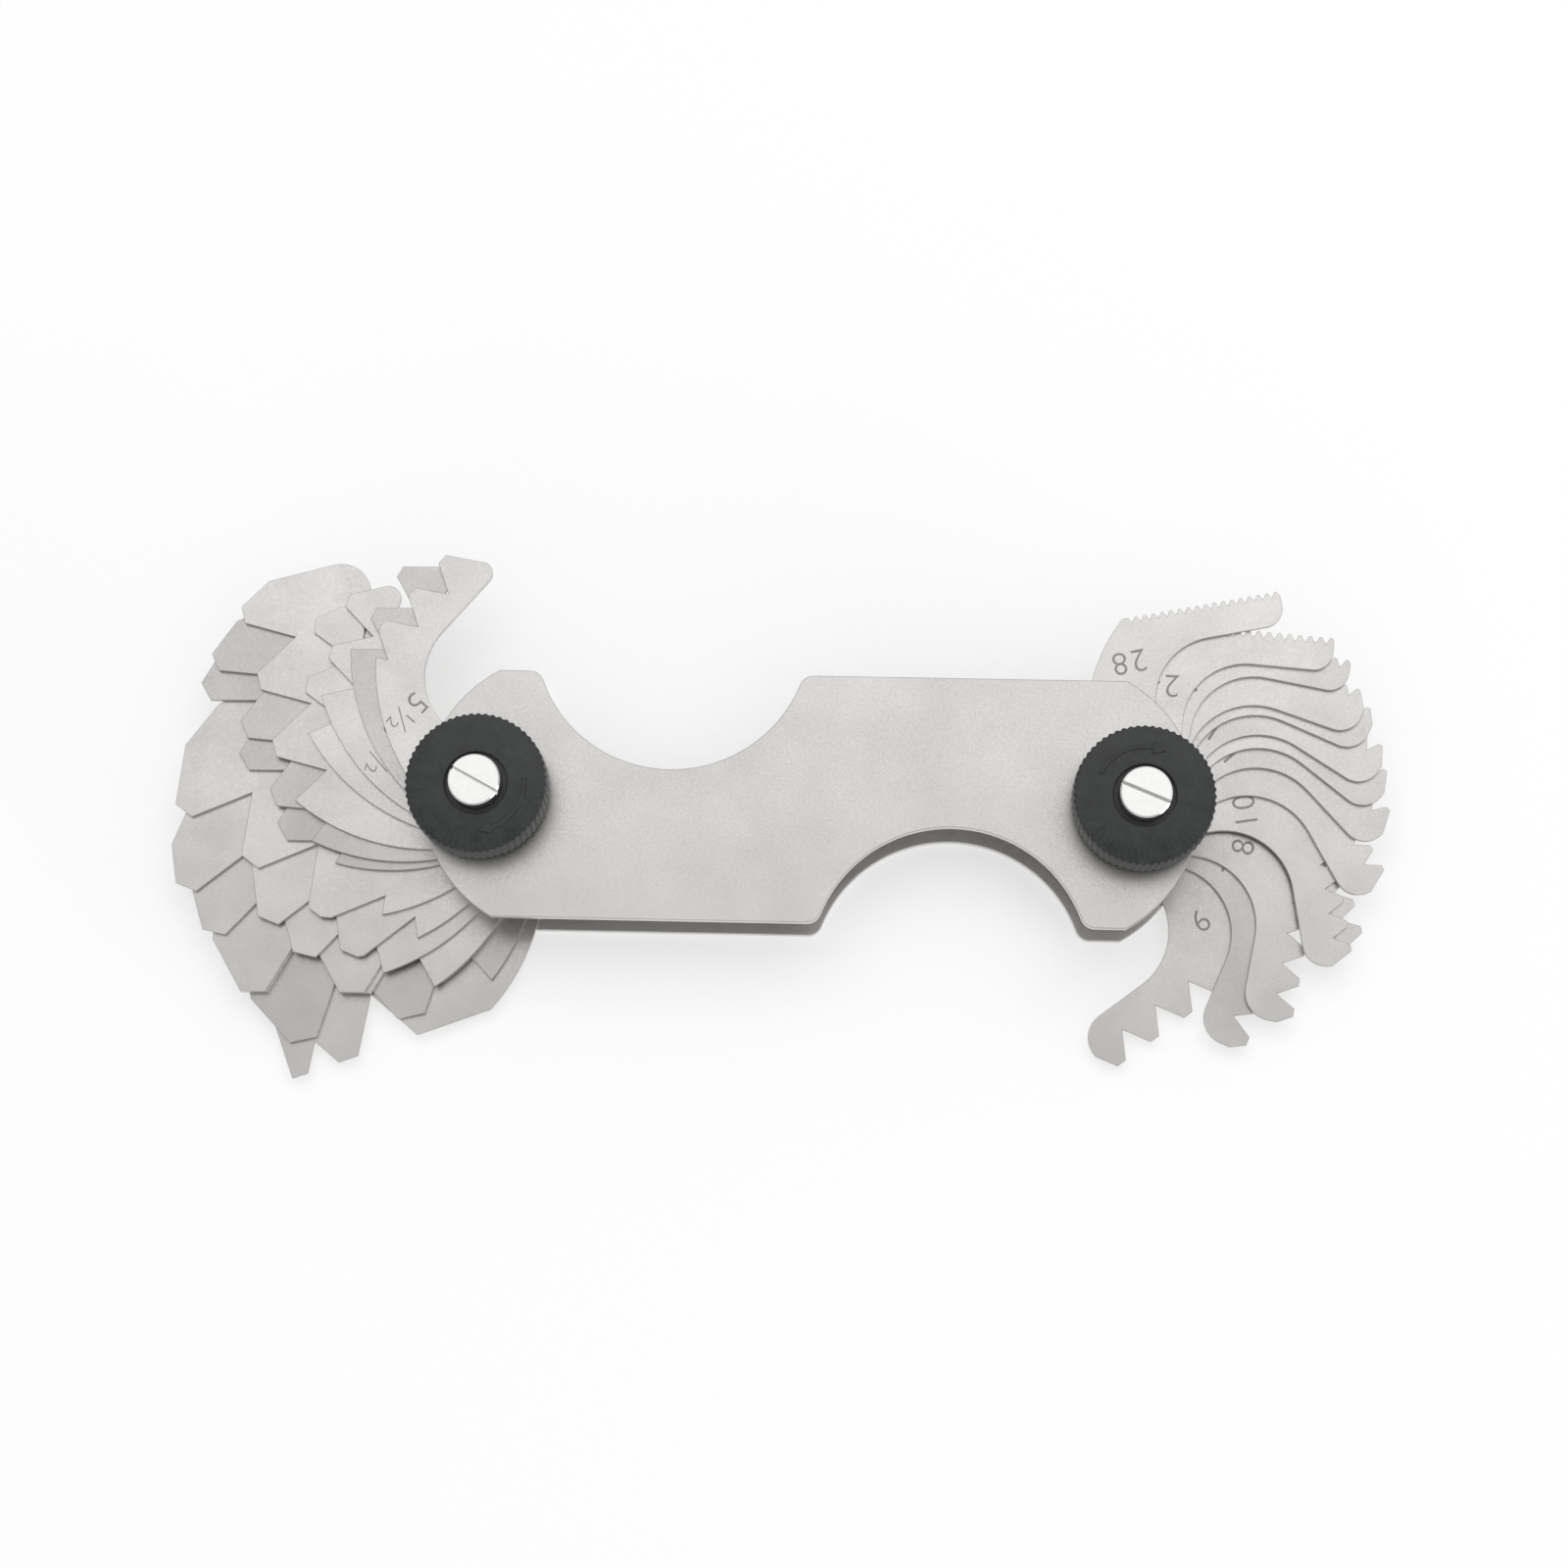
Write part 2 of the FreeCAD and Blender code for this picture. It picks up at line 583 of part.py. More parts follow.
def pivotStud(node, side, slotName):
    body = newBody(node)
    head = size("stud_head_diameter") / 2
    shaft = size("stud_diameter") / 2
    deep = size("stud_head_height")
    edge = size("stud_chamfer")
    lathe(
        body, node + "_turned",
        [(0, 0), (head, 0), (shaft, deep), (shaft, studTop - edge), (shaft - edge, studTop), (0, studTop)],
        [
            (None, None),
            ("Sizes.stud_head_diameter / 2", None),
            ("Sizes.stud_diameter / 2", "Sizes.stud_head_height"),
            ("Sizes.stud_diameter / 2", studTopText + " - Sizes.stud_chamfer"),
            ("Sizes.stud_diameter / 2 - Sizes.stud_chamfer", studTopText),
            (None, studTopText),
        ],
    )
    sketch = newSketch(body, node + "_slot_outline")
    sketch.AttachmentOffset = FreeCAD.Placement(vec(0, 0, studTop), FreeCAD.Rotation())
    bind(sketch, ".AttachmentOffset.Base.z", studTopText)
    wide = size("stud_slot_width") / 2
    long = shaft + 0.5
    one = line(sketch, (-long, -wide), (long, -wide))
    two = line(sketch, (long, -wide), (long, wide))
    three = line(sketch, (long, wide), (-long, wide))
    four = line(sketch, (-long, wide), (-long, -wide))
    con = Sketcher.Constraint
    sketch.addConstraint([
        con("Coincident", one, 2, two, 1),
        con("Coincident", two, 2, three, 1),
        con("Coincident", three, 2, four, 1),
        con("Coincident", four, 2, one, 1),
        con("Horizontal", one),
        con("Horizontal", three),
        con("Vertical", two),
        con("Symmetric", one, 1, two, 2, AXIS, 1),
    ])
    rule(sketch, "slot_width", "Sizes.stud_slot_width", V, two, 1, two, 2, 2 * wide)
    rule(sketch, "slot_length", "Sizes.stud_diameter + 1", H, one, 1, one, 2, 2 * long)
    before = body.Shape.Volume
    slot = body.newObject("PartDesign::Pocket", node + "_slot")
    slot.Profile = sketch
    bind(slot, "Length", "Sizes.stud_slot_depth")
    doc.recompute()
    if body.Shape.Volume > before - 1e-6:
        raise ValueError("slot removed nothing")
    body.Placement = FreeCAD.Placement(vec(1, 0, 0), FreeCAD.Rotation(vec(0, 0, 1), 10))
    bind(body, ".Placement.Base.x", "%d * Sizes.pivot_spacing / 2" % side)
    bind(body, ".Placement.Rotation.Angle", "Sizes." + slotName)
    return body


def lockKnob(node, side):
    body = newBody(node)
    bore = size("stud_diameter") / 2 + size("knob_clearance")
    foot = size("knob_collar_diameter") / 2
    footHigh = size("knob_collar_height")
    rim = size("knob_diameter") / 2
    high = size("knob_height")
    dish = size("knob_recess_diameter") / 2
    sunk = high - size("knob_recess_depth")
    edge = size("knob_top_round")
    boreText = "Sizes.stud_diameter / 2 + Sizes.knob_clearance"
    lathe(
        body, node + "_turned",
        [
            (bore, 0), (foot, 0), (foot, footHigh), (rim - edge, footHigh), (rim, footHigh + edge),
            (rim, high - edge), (rim - edge, high), (dish, high), (dish, sunk), (bore, sunk),
        ],
        [
            (boreText, None),
            ("Sizes.knob_collar_diameter / 2", None),
            ("Sizes.knob_collar_diameter / 2", "Sizes.knob_collar_height"),
            ("Sizes.knob_diameter / 2 - Sizes.knob_top_round", "Sizes.knob_collar_height"),
            ("Sizes.knob_diameter / 2", "Sizes.knob_collar_height + Sizes.knob_top_round"),
            ("Sizes.knob_diameter / 2", "Sizes.knob_height - Sizes.knob_top_round"),
            ("Sizes.knob_diameter / 2 - Sizes.knob_top_round", "Sizes.knob_height"),
            ("Sizes.knob_recess_diameter / 2", "Sizes.knob_height"),
            ("Sizes.knob_recess_diameter / 2", "Sizes.knob_height - Sizes.knob_recess_depth"),
            (boreText, "Sizes.knob_height - Sizes.knob_recess_depth"),
        ],
    )
    flute = size("knob_flute_radius")
    out = rim + flute - size("knob_flute_depth")
    sketch = newSketch(body, node + "_flute_outline")
    ring = circle(sketch, (out, 0), flute)
    sketch.addConstraint(Sketcher.Constraint("PointOnObject", ring, 3, AXIS))
    rule(sketch, "flute", "Sizes.knob_flute_radius", "Radius", ring, flute)
    rule(
        sketch, "out", "Sizes.knob_diameter / 2 + Sizes.knob_flute_radius - Sizes.knob_flute_depth",
        H, AXIS, 1, ring, 3, out,
    )
    cut = cutThrough(body, sketch, node + "_flute")
    grip = body.newObject("PartDesign::PolarPattern", node + "_grip")
    grip.Originals = [cut]
    grip.Axis = (planeOf(body, "Z_Axis"), [""])
    grip.Angle = 360
    bind(grip, "Occurrences", "Sizes.knob_flute_count")
    body.Tip = grip
    doc.recompute()
    body.Placement = FreeCAD.Placement(vec(1, 0, 1), FreeCAD.Rotation())
    bind(body, ".Placement.Base.x", "%d * Sizes.pivot_spacing / 2" % side)
    bind(body, ".Placement.Base.z", stackText)
    return body


bodies = []
back = casePlate("back_case_plate", "0 mm")
studHoles(back, "back_stud_holes", "Sizes.stud_diameter")
countersinks(back, "countersink")
bodies.append(back)
front = casePlate("front_case_plate", "Sizes.plate_thickness + Sizes.plate_gap")
studHoles(front, "front_stud_holes", "Sizes.stud_diameter + 2 * Sizes.plate_clearance")
bodies.append(front)
bodies.append(pivotStud("left_pivot_stud", -1, "left_slot_angle"))
bodies.append(pivotStud("right_pivot_stud", 1, "right_slot_angle"))
bodies.append(lockKnob("left_lock_knob", -1))
bodies.append(lockKnob("right_lock_knob", 1))
for layer, leaf in enumerate(fineLeaves):
    bodies.append(threadLeaf(leaf, 1, layer))
for layer, leaf in enumerate(coarseLeaves):
    bodies.append(threadLeaf(leaf, -1, layer))
bodies.append(centreLeaf(-1, len(coarseLeaves)))
doc.recompute()

for item in doc.Objects:
    for word in ("Invalid", "Error"):
        if word in item.State:
            raise ValueError("%s is %s" % (item.Label, item.State))
os.makedirs("parts", exist_ok=True)
for body in bodies:
    shape = body.Shape
    if shape.isNull() or not shape.isValid() or len(shape.Solids) != 1:
        print(body.Label, shape.isValid(), len(shape.Solids), [s.BoundBox for s in shape.Solids])
        raise ValueError(body.Label + " has no single valid solid")
    shape.exportStep("parts/%s.step" % body.Label)
    box = shape.BoundBox
    print("%-24s %8.2f mm3  x %7.2f %7.2f  y %7.2f %7.2f  z %6.3f %6.3f" % (
        body.Label, shape.Volume, box.XMin, box.XMax, box.YMin, box.YMax, box.ZMin, box.ZMax
    ))
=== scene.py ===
import math
import bmesh
import bpy
from mathutils import Matrix, Vector


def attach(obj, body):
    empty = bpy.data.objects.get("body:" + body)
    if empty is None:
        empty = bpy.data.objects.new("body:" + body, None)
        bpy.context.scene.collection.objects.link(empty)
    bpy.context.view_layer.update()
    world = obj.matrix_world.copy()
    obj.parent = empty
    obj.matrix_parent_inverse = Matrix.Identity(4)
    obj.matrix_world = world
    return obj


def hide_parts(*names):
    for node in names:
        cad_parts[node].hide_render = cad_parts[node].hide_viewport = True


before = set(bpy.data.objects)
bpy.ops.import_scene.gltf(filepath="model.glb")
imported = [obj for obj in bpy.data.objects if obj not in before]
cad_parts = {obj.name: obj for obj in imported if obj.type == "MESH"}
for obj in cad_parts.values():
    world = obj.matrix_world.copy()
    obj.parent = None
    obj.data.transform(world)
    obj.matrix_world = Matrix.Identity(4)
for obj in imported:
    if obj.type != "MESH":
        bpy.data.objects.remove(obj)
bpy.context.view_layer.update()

mm = 0.001
scene = bpy.context.scene
scene.view_settings.view_transform = "Standard"

caseSizes = {  # millimetres
    "pivotX": 33.4,          # stud axes, left and right of the middle
    "plateTop": 9.8,         # outer face of the front plate
    "leafStep": 0.555,       # one leaf and its gap
    "leafThick": 0.525,
    "stackTop": 8.8,         # underside of the front plate
}


def hexColour(text):
    # sRGB hex to the linear values that nodes take
    text = text.lstrip("#")
    parts = []
    for i in (0, 2, 4):
        v = int(text[i:i + 2], 16) / 255
        parts.append(v / 12.92 if v <= 0.04045 else ((v + 0.055) / 1.055) ** 2.4)
    return (*parts, 1.0)


cameraSettings = {
    "place": (6.093, -64.152, 352.716),       # nearly overhead, from the lower side
    "turn": (10.8518, 1.2150, 1.3177),        # degrees
    "lens": 79.175,
    "sensor": 36.0,
}


def addCamera(settings):
    data = bpy.data.cameras.new("benchCamera")
    data.lens = settings["lens"]
    data.sensor_width = settings["sensor"]
    data.clip_start = 0.01
    camera = bpy.data.objects.new("benchCamera", data)
    scene.collection.objects.link(camera)
    camera.location = [v * mm for v in settings["place"]]
    camera.rotation_euler = [math.radians(v) for v in settings["turn"]]
    scene.camera = camera


addCamera(cameraSettings)
print("camera set")


def newMaterial(name):
    made = bpy.data.materials.new(name)
    made.use_nodes = True
    tree = made.node_tree
    for node in list(tree.nodes):
        tree.nodes.remove(node)
    return made, tree


def addNode(tree, kind, settings=None, links=None):
    # one node with its settings, and its inputs linked or set
    node = tree.nodes.new(kind)
    for key, value in (settings or {}).items():
        setattr(node, key, value)
    for key, value in (links or {}).items():
        if isinstance(value, bpy.types.NodeSocket):
            tree.links.new(value, node.inputs[key])
        else:
            node.inputs[key].default_value = value
    return node


def addNoise(tree, where, scale, detail, rough=0.5):
    return addNode(tree, "ShaderNodeTexNoise", links={
        "Vector": where, "Scale": scale, "Detail": detail, "Roughness": rough,
    })


def addTone(tree, value, *stops):
    # two colours over a noise value, each stop a place and a linear colour
    tone = addNode(tree, "ShaderNodeValToRGB", links={"Fac": value})
    for element, (place, colour) in zip(tone.color_ramp.elements, stops):
        element.position = place
        element.color = colour
    return tone


def addRange(tree, value, low, high, start=0.0, end=1.0):
    return addNode(tree, "ShaderNodeMapRange", links={
        "Value": value, "From Min": start, "From Max": end, "To Min": low, "To Max": high,
    })


def addSurface(tree, links):
    shader = addNode(tree, "ShaderNodeBsdfPrincipled", links=links)
    addNode(tree, "ShaderNodeOutputMaterial", links={"Surface": shader.outputs[0]})


def dimmed(text, shadeFactor):
    red, green, blue, alpha = hexColour(text)
    return red * shadeFactor, green * shadeFactor, blue * shadeFactor, alpha


# noise scales are per metre: 110 gives clouds of about 9 mm, 4200 a grain of 0.24 mm
steelLook = {
    "leaf": {"light": "#dedcda", "dark": "#d0cecc", "rough": 0.32},
    "case": {"light": "#dbd9d7", "dark": "#d2d0ce", "rough": 0.34},
    "cloudScale": 110.0,
    "grainScale": 4200.0,
    "cloudShift": 0.013,  # metres the clouds move from leaf to leaf
    "cloudSlant": 0.7,
}


def satinSteel(name, light, dark, rough, shift=0.0, shadeFactor=1.0):
    # blanked sheet steel, tumbled to a satin: fine grain and faint clouds
    made, tree = newMaterial(name)
    where = addNode(tree, "ShaderNodeTexCoord")
    moved = addNode(tree, "ShaderNodeMapping", links={
        "Vector": where.outputs["Object"], "Location": (shift, shift * steelLook["cloudSlant"], 0),
    })
    clouds = addNoise(tree, moved.outputs[0], steelLook["cloudScale"], 3.0, 0.55)
    grain = addNoise(tree, moved.outputs[0], steelLook["grainScale"], 2.0, 0.6)
    # the factor passed in darkens both tones: painted shade on leaves lower in the stack and on the
    # listed leaves
    tone = addTone(tree, clouds.outputs[0], (0.34, dimmed(dark, shadeFactor)), (0.66, dimmed(light, shadeFactor)))
    speck = addRange(tree, grain.outputs[0], rough - 0.05, rough + 0.07, 0.3, 0.7)
    bump = addNode(tree, "ShaderNodeBump", links={
        "Height": grain.outputs[0], "Strength": 0.06, "Distance": 0.00003,
    })
    addSurface(tree, {
        "Base Color": tone.outputs[0], "Metallic": 1.0,
        "Roughness": speck.outputs[0], "Normal": bump.outputs[0],
    })
    return made


def polishedSteel(name, colour, rough):
    # turned screw end, bright with a fine grain
    made, tree = newMaterial(name)
    where = addNode(tree, "ShaderNodeTexCoord")
    grain = addNoise(tree, where.outputs["Object"], 1500.0, 2.0)
    speck = addRange(tree, grain.outputs[0], rough - 0.04, rough + 0.06)
    addSurface(tree, {"Base Color": hexColour(colour), "Metallic": 1.0, "Roughness": speck.outputs[0]})
    return made


def blackedSteel(name, colour, deep, rough):
    # black oxide over a moulded surface: matt, slightly mottled
    made, tree = newMaterial(name)
    where = addNode(tree, "ShaderNodeTexCoord")
    mottle = addNoise(tree, where.outputs["Object"], 900.0, 4.0, 0.6)
    tone = addTone(tree, mottle.outputs[0], (0.3, hexColour(deep)), (0.7, hexColour(colour)))
    speck = addRange(tree, mottle.outputs[0], rough - 0.08, rough + 0.1)
    bump = addNode(tree, "ShaderNodeBump", links={
        "Height": mottle.outputs[0], "Strength": 0.25, "Distance": 0.00006,
    })
    addSurface(tree, {
        "Base Color": tone.outputs[0], "Roughness": speck.outputs[0], "Normal": bump.outputs[0],
    })
    return made


def stampedCutShade(name, colour, worn):
    # rolled-in figures as a thin sheet on the leaf, painted darker for the shade at the bottom of the
    # cut
    made, tree = newMaterial(name)
    where = addNode(tree, "ShaderNodeTexCoord")
    wear = addNoise(tree, where.outputs["Object"], 1800.0, 2.0)
    tone = addTone(tree, wear.outputs[0], (0.3, hexColour(colour)), (0.75, hexColour(worn)))
    addSurface(tree, {"Base Color": tone.outputs[0], "Metallic": 0.4, "Roughness": 0.55})
    return made


caseSteel = satinSteel("satinCaseSteel", **steelLook["case"])
studSteel = polishedSteel("turnedBrightSteel", "#e6e6e4", 0.2)
knobBlack = blackedSteel("blackOxideKnob", "#3a3d3c", "#232625", 0.36)
# painted shade: the figure greys stand in for the shade inside the rolled-in cut
figureCutShade = stampedCutShade("rolledFigureShade", "#9c9b99", "#b2b1af")
print("materials made")


def objectFrom(mesh, name, material):
    made = bpy.data.objects.new(name, mesh)
    scene.collection.objects.link(made)
    mesh.materials.clear()
    mesh.materials.append(material)
    return made


def meshFrom(bm, name):
    bmesh.ops.recalc_face_normals(bm, faces=bm.faces)
    mesh = bpy.data.meshes.new(name)
    bm.to_mesh(mesh)
    bm.free()
    return mesh


edgeFinish = {
    "sharpFrom": 35,   # degrees between faces
    "flatFrom": 0.9,   # upward share of a normal on a flat face
    "leaf": 0.06,      # millimetres taken off the edges
    "plate": 0.1,
}


def brokenEdgeCopy(node, name, material, edge):
    # copy of a solid with its sharp edges lightly broken, so that they catch the light
    bm = bmesh.new()
    bm.from_mesh(bpy.data.objects[node].data)
    bmesh.ops.remove_doubles(bm, verts=bm.verts, dist=0.000002)
    bmesh.ops.dissolve_limit(
        bm, angle_limit=math.radians(1.0), use_dissolve_boundaries=False,
        verts=bm.verts, edges=bm.edges, delimit={"NORMAL"},
    )
    least = math.radians(edgeFinish["sharpFrom"])
    sharp = [e for e in bm.edges if len(e.link_faces) == 2 and e.calc_face_angle() > least]
    flat = [e for e in sharp if any(abs(f.normal.z) > edgeFinish["flatFrom"] for f in e.link_faces)]
    bmesh.ops.bevel(
        bm, geom=flat, offset=edge * mm, offset_type="OFFSET", affect="EDGES", segments=2,
        profile=0.5, material=-1, clamp_overlap=True,
    )
    return objectFrom(meshFrom(bm, name), name, material)


leafFinish = {
    "figureHeight": 2.4,   # millimetres
    "figureShare": 0.7,    # height of a digit over the font's size
    "figureSpacing": 1.15,
    "figureThinning": 0.04,
    "figureLift": 0.008,
    "figureThick": 0.004,
    # painted shade: the steel of each leaf further down the stack is darkened, as if shaded by the
    # leaves above
    "layerShade": 0.006,     # each leaf further down is a little darker
    # painted shade: these leaves get darker steel for the light lost to their tilt and to the leaves
    # above
    "shadedLeaves": {
        "leaf_5": 0.84, "leaf_3_quarter": 0.86, "leaf_3": 0.84, "leaf_2_quarter": 0.86, "leaf_7": 0.92,
    },
}

# node, figures, middle of the figures from the pivot, rest angle; top of the stack first
fineLeaves = [
    ("leaf_28", "28", (1.8, 15.0), 101.3),
    ("leaf_24", "24", (1.2, 13.0), 85.4),
    ("leaf_20", "20", (1.8, 14.3), 79.3),
    ("leaf_18", "18", (1.0, 11.5), 71.1),
    ("leaf_16", "16", (1.0, 11.5), 66.7),
    ("leaf_14", "14", (1.0, 11.5), 57.6),
    ("leaf_13", "13", (1.0, 11.5), 51.7),
    ("leaf_12", "12", (1.0, 11.5), 42.7),
    ("leaf_11", "11", (-0.6, 9.6), 29.1),
    ("leaf_10", "10", (1.2, 11.2), 9.2),
    ("leaf_9", "9", (1.0, 11.5), 14.4),
    ("leaf_8", "8", (0.9, 11.5), -10.3),
    ("leaf_7", "7", (0.9, 11.5), -22.6),
    ("leaf_6", "6", (0.9, 12.6), -52.9),
]
coarseLeaves = [
    ("leaf_5_half", "5½", (1.0, 11.5), 139.7),
    ("leaf_5", "5", (1.0, 11.5), 150.3),
    ("leaf_4_half", "4½", (1.0, 11.5), 164.2),
    ("leaf_4", "4", (2.0, 8.4), 174.6),
    ("leaf_3_half", "3½", (5.0, 9.0), 195.6),
    ("leaf_3_quarter", "3¼", (5.0, 9.0), 205.5),
    ("leaf_3", "3", (5.0, 9.0), 210.7),
    ("leaf_2_seven_eighths", "2⅞", (5.0, 9.0), 233.6),
    ("leaf_2_three_quarters", "2¾", (5.0, 9.0), 249.1),
    ("leaf_2_five_eighths", "2⅝", (5.0, 9.0), 257.2),
    ("leaf_2_half", "2½", (5.0, 9.0), 270.5),
    ("leaf_2_three_eighths", "2⅜", (5.0, 9.0), 270.5),
    ("leaf_2_quarter", "2¼", (1.0, 11.5), 283.6),
    ("centre_gauge_leaf", "", (0, 0), 290.6),
]


def addFigures(name, text, place, angle, pivotX, top, body):
    curve = bpy.data.curves.new(name + "Curve", "FONT")
    curve.body = text
    curve.size = leafFinish["figureHeight"] * mm / leafFinish["figureShare"]
    curve.align_x = "CENTER"
    curve.align_y = "CENTER"
    curve.extrude = leafFinish["figureThick"] * mm / 2
    curve.space_character = leafFinish["figureSpacing"]
    curve.offset = -leafFinish["figureThinning"] * mm
    holder = bpy.data.objects.new(name + "Holder", curve)
    scene.collection.objects.link(holder)
    bpy.context.view_layer.update()
    depsgraph = bpy.context.evaluated_depsgraph_get()
    mesh = bpy.data.meshes.new_from_object(holder.evaluated_get(depsgraph))
    bpy.data.objects.remove(holder)
    # figures read towards the heel, tops towards the pivot
    mesh.transform(Matrix.Rotation(math.pi, 4, "Z"))
    mesh.transform(Matrix.Translation((place[0] * mm, place[1] * mm, top * mm)))
    mesh.transform(Matrix.Rotation(math.radians(angle - 90), 4, "Z"))
    mesh.transform(Matrix.Translation((pivotX * mm, 0, 0)))
    mesh.name = name
    made = objectFrom(mesh, name, figureCutShade)
    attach(made, body)


def dressLeaves(leaves, pivotX):
    for layer, (node, text, place, angle) in enumerate(leaves):
        look = steelLook["leaf"]
        # painted shade on each leaf's copy of the steel: darker down the stack and on the listed leaves
        shadeFactor = (1.0 - leafFinish["layerShade"] * layer) * leafFinish["shadedLeaves"].get(node, 1.0)
        material = satinSteel(
            "satinLeafSteel_" + node, look["light"], look["dark"], look["rough"],
            shift=steelLook["cloudShift"] * (layer + 1), shadeFactor=shadeFactor,
        )
        leaf = brokenEdgeCopy(node, node + "_blade", material, edgeFinish["leaf"])
        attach(leaf, node + "_body")
        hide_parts(node)
        if text:
            top = caseSizes["stackTop"] - (layer + 1) * caseSizes["leafStep"] + caseSizes["leafThick"]
            top += leafFinish["figureLift"]
            addFigures(node + "_figures", text, place, angle, pivotX, top, node + "_body")


dressLeaves(fineLeaves, caseSizes["pivotX"])
dressLeaves(coarseLeaves, -caseSizes["pivotX"])
print("leaves dressed")

for node in ("back_case_plate", "front_case_plate"):
    plate = brokenEdgeCopy(node, node + "_sheet", caseSteel, edgeFinish["plate"])
    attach(plate, "case")
    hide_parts(node)
for node in ("left_pivot_stud", "right_pivot_stud"):
    for slot in bpy.data.objects[node].material_slots:
        slot.material = studSteel


knobShape = {  # millimetres
    "bore": 2.63,
    "foot": 5.2,
    "footTop": 1.2,
    "rim": 7.15,
    "height": 5.2,
    "round": 0.3,
    "recess": 3.15,
    "recessDepth": 0.5,
    "lobes": 60,
    "lobeDepth": 0.08,       # half the depth of the grip's scallops
    "stepsPerLobe": 10,
    "arrowRadius": 4.9,
    "arrowWidth": 0.42,
    "arrowHeight": 0.12,
    "arrowSweep": 74,        # degrees
    "arrowHead": 16,         # degrees
    "arrowBarb": 0.45,
    "arrowSink": 0.03,       # into the knob's top
    "dishRound": 0.08,
}


def knobProfile(k):
    # half outline of the turned knob, from the bore round the foot and rim to the recess
    points = [(k["bore"], 0), (k["foot"], 0), (k["foot"], k["footTop"])]
    for centreZ, first in ((k["footTop"] + k["round"], -90), (k["height"] - k["round"], 0)):
        for i in range(5):
            turn = math.radians(first + 22.5 * i)
            across = k["rim"] - k["round"] * (1 - math.cos(turn))
            points.append((across, centreZ + k["round"] * math.sin(turn)))
    dish = k["height"] - k["recessDepth"]
    points += [(k["recess"] + k["dishRound"], k["height"]), (k["recess"], k["height"] - k["dishRound"])]
    points += [(k["recess"], dish), (k["bore"], dish)]
    return points


def buildKnob(name, pivotX, k):
    bm = bmesh.new()
    verts = [bm.verts.new((x * mm, 0, z * mm)) for x, z in knobProfile(k)]
    edges = [bm.edges.new((verts[i], verts[(i + 1) % len(verts)])) for i in range(len(verts))]
    bmesh.ops.spin(
        bm, geom=verts + edges, cent=(0, 0, 0), axis=(0, 0, 1), angle=2 * math.pi,
        steps=k["lobes"] * k["stepsPerLobe"], use_merge=True,
    )
    rimStart = (k["rim"] - k["round"] - 0.01) * mm
    for v in bm.verts:
        out = math.hypot(v.co.x, v.co.y)
        if out > rimStart:
            share = min(1.0, (out - rimStart) / (k["round"] * mm))
            wave = k["lobeDepth"] * mm * share * (1 - math.cos(k["lobes"] * math.atan2(v.co.y, v.co.x)))
            v.co.x -= wave * v.co.x / out
            v.co.y -= wave * v.co.y / out
    bmesh.ops.translate(bm, verts=bm.verts, vec=(pivotX * mm, 0, caseSizes["plateTop"] * mm))
    return meshFrom(bm, name)


def buildArrow(name, pivotX, start, k):
    # raised curved arrow on the knob's top, its head at the far end of the sweep
    bm = bmesh.new()
    inner = k["arrowRadius"] - k["arrowWidth"] / 2
    outer = k["arrowRadius"] + k["arrowWidth"] / 2

    def at(radius, degrees):
        turn = math.radians(start + degrees)
        return (radius * math.cos(turn), radius * math.sin(turn))

    steps = 24
    sweep = -k["arrowSweep"]
    ring = [at(outer, sweep * i / steps) for i in range(steps + 1)]
    ring.append(at(outer + k["arrowBarb"], sweep))
    ring.append(at(k["arrowRadius"], sweep - k["arrowHead"]))
    ring.append(at(inner - k["arrowBarb"], sweep))
    ring += [at(inner, sweep * (steps - i) / steps) for i in range(steps + 1)]
    base = (caseSizes["plateTop"] + k["height"] - k["arrowSink"]) * mm
    face = bm.faces.new([bm.verts.new(((x + pivotX) * mm, y * mm, base)) for x, y in ring])
    raised = bmesh.ops.extrude_face_region(bm, geom=[face])
    top = [v for v in raised["geom"] if isinstance(v, bmesh.types.BMVert)]
    bmesh.ops.translate(bm, verts=top, vec=(0, 0, (k["arrowHeight"] + k["arrowSink"]) * mm))
    rim = [e for e in bm.edges if all(v in top for v in e.verts)]
    bmesh.ops.bevel(
        bm, geom=rim, offset=0.04 * mm, offset_type="OFFSET", affect="EDGES", segments=2,
        profile=0.5, material=-1, clamp_overlap=True,
    )
    bmesh.ops.triangulate(bm, faces=[f for f in bm.faces if len(f.verts) > 4])
    return meshFrom(bm, name)


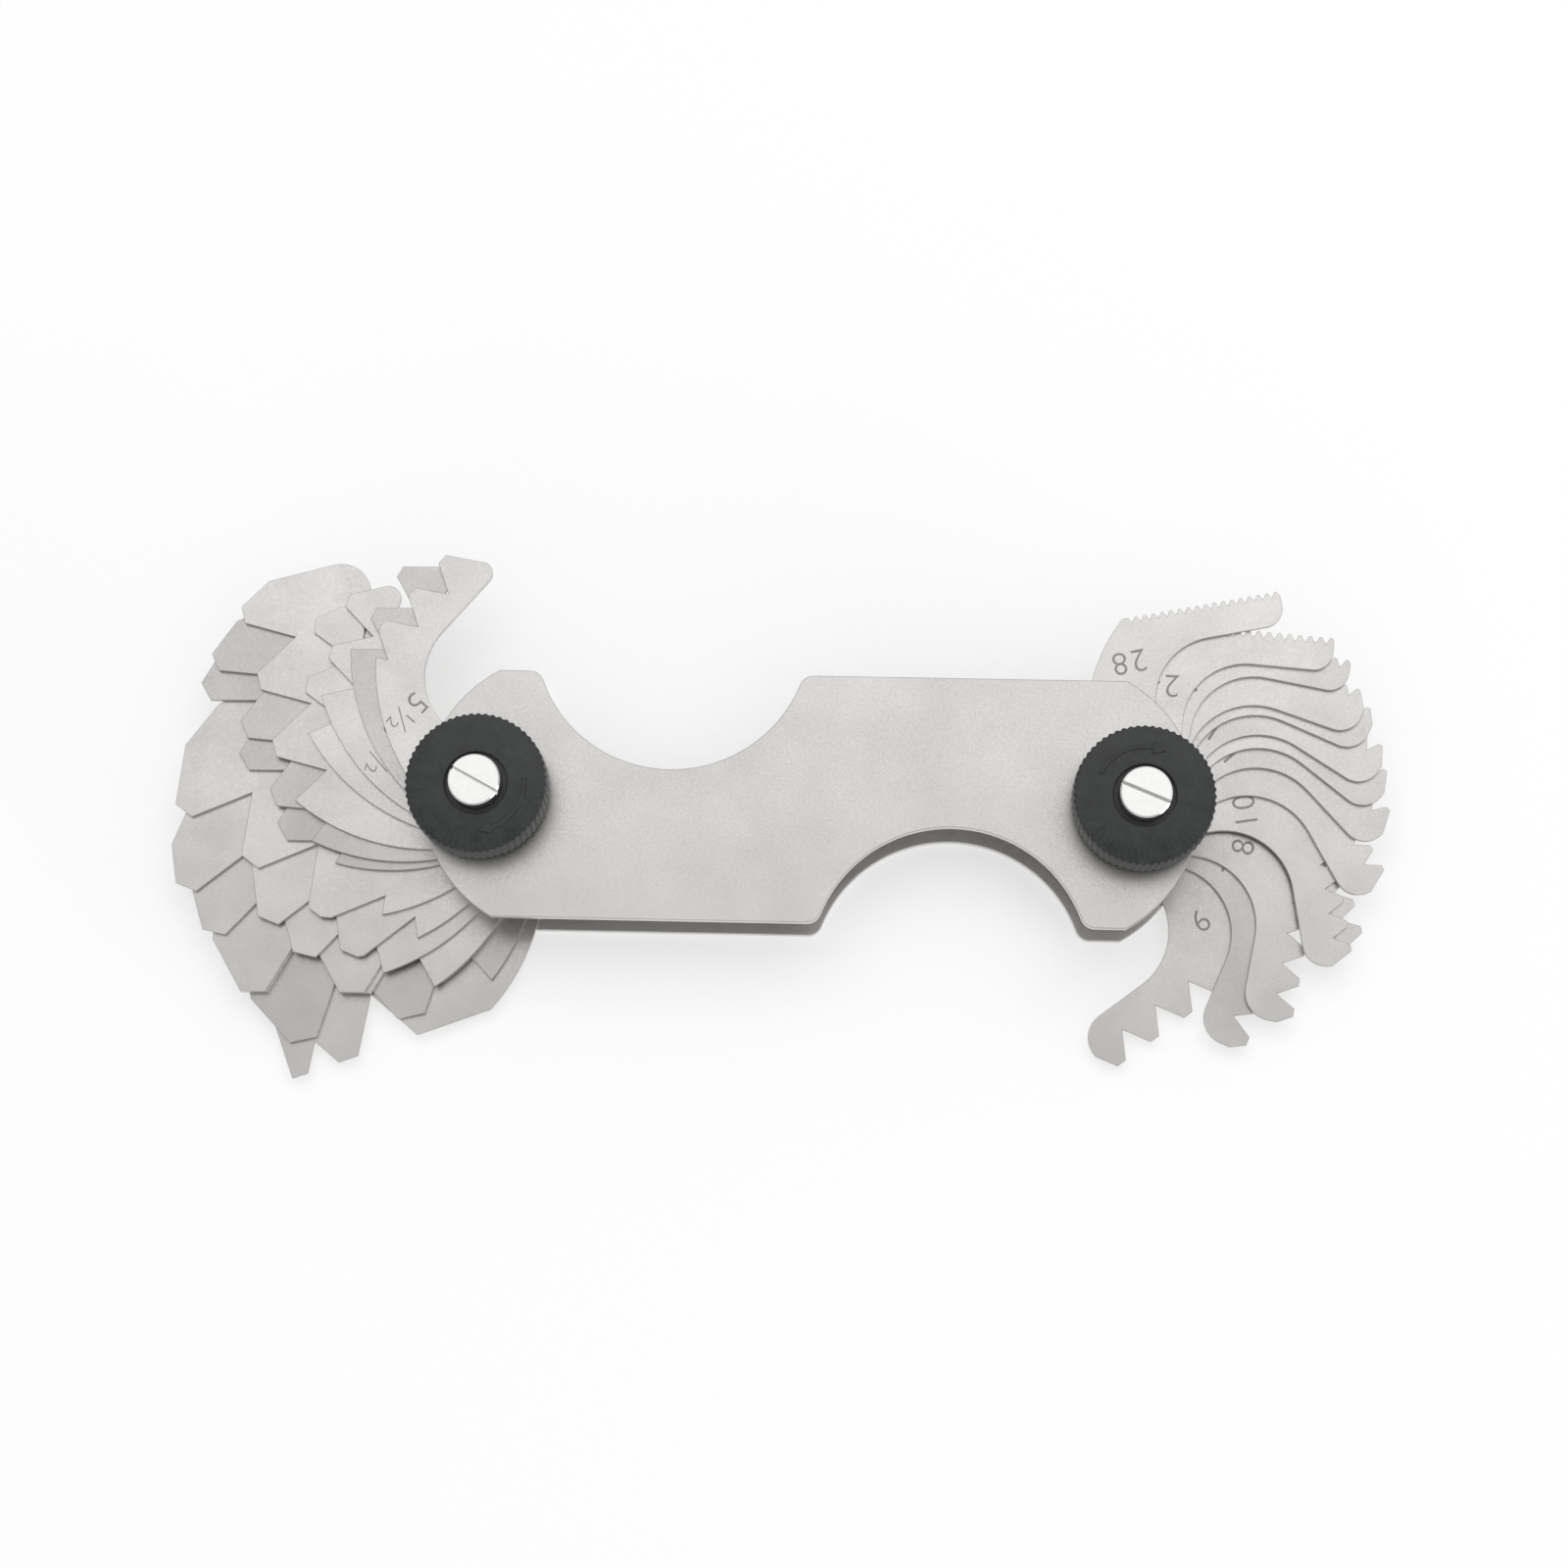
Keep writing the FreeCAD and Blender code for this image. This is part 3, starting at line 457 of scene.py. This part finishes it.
for word, pivotX, arrowStart in (("left", -caseSizes["pivotX"], 5), ("right", caseSizes["pivotX"], 155)):
    node = word + "_lock_knob"
    gripMesh = buildKnob(node + "_grip", pivotX, knobShape)
    grip = objectFrom(gripMesh, node + "_grip", knobBlack)
    for polygon in gripMesh.polygons:
        polygon.use_smooth = True
    gripMesh.set_sharp_from_angle(angle=math.radians(40))
    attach(grip, word + "_knob")
    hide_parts(node)
    arrowMesh = buildArrow(node + "_arrow", pivotX, arrowStart, knobShape)
    arrow = objectFrom(arrowMesh, node + "_arrow", knobBlack)
    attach(arrow, word + "_knob")
print("case dressed")


def addFloor():
    bm = bmesh.new()
    bmesh.ops.create_grid(bm, x_segments=1, y_segments=1, size=1.5)
    bmesh.ops.translate(bm, verts=bm.verts, vec=(0, 0, -0.00005))
    mesh = meshFrom(bm, "benchTop")
    made, tree = newMaterial("paleBenchCard")
    ray = addNode(tree, "ShaderNodeLightPath")
    seen = addNode(tree, "ShaderNodeMath", {"operation": "MAXIMUM"}, {
        0: ray.outputs["Is Camera Ray"], 1: ray.outputs["Is Glossy Ray"],
    })
    paint = addNode(tree, "ShaderNodeBsdfDiffuse", links={"Color": hexColour("#eeeeee")})
    glow = addNode(tree, "ShaderNodeEmission", links={"Color": hexColour("#ffffff"), "Strength": 0.42})
    both = addNode(tree, "ShaderNodeAddShader", links={0: paint.outputs[0], 1: glow.outputs[0]})
    pick = addNode(tree, "ShaderNodeMixShader", links={
        0: seen.outputs[0], 1: paint.outputs[0], 2: both.outputs[0],
    })
    addNode(tree, "ShaderNodeOutputMaterial", links={"Surface": pick.outputs[0]})
    floor = objectFrom(mesh, "benchTop", made)


def addLamp(name, place, size, power):
    data = bpy.data.lights.new(name, "AREA")
    data.shape = "RECTANGLE"
    data.size = size[0]
    data.size_y = size[1]
    data.energy = power
    lamp = bpy.data.objects.new(name, data)
    scene.collection.objects.link(lamp)
    lamp.location = place
    aim = Vector(place).normalized()
    lamp.rotation_euler = aim.to_track_quat("Z", "Y").to_euler()


def addWorld():
    world = bpy.data.worlds.new("softRoom")
    scene.world = world
    world.use_nodes = True
    tree = world.node_tree
    for node in list(tree.nodes):
        tree.nodes.remove(node)
    glow = addNode(tree, "ShaderNodeBackground", links={"Color": hexColour("#ffffff"), "Strength": 0.52})
    addNode(tree, "ShaderNodeOutputWorld", links={"Surface": glow.outputs[0]})


addFloor()
addLamp("softboxNorth", (0.02, 0.36, 0.80), (0.9, 0.6), 1.28)
addLamp("stripRight", (0.72, -0.34, 0.10), (0.5, 0.16), 1.6)
addWorld()
print("floor and light set")
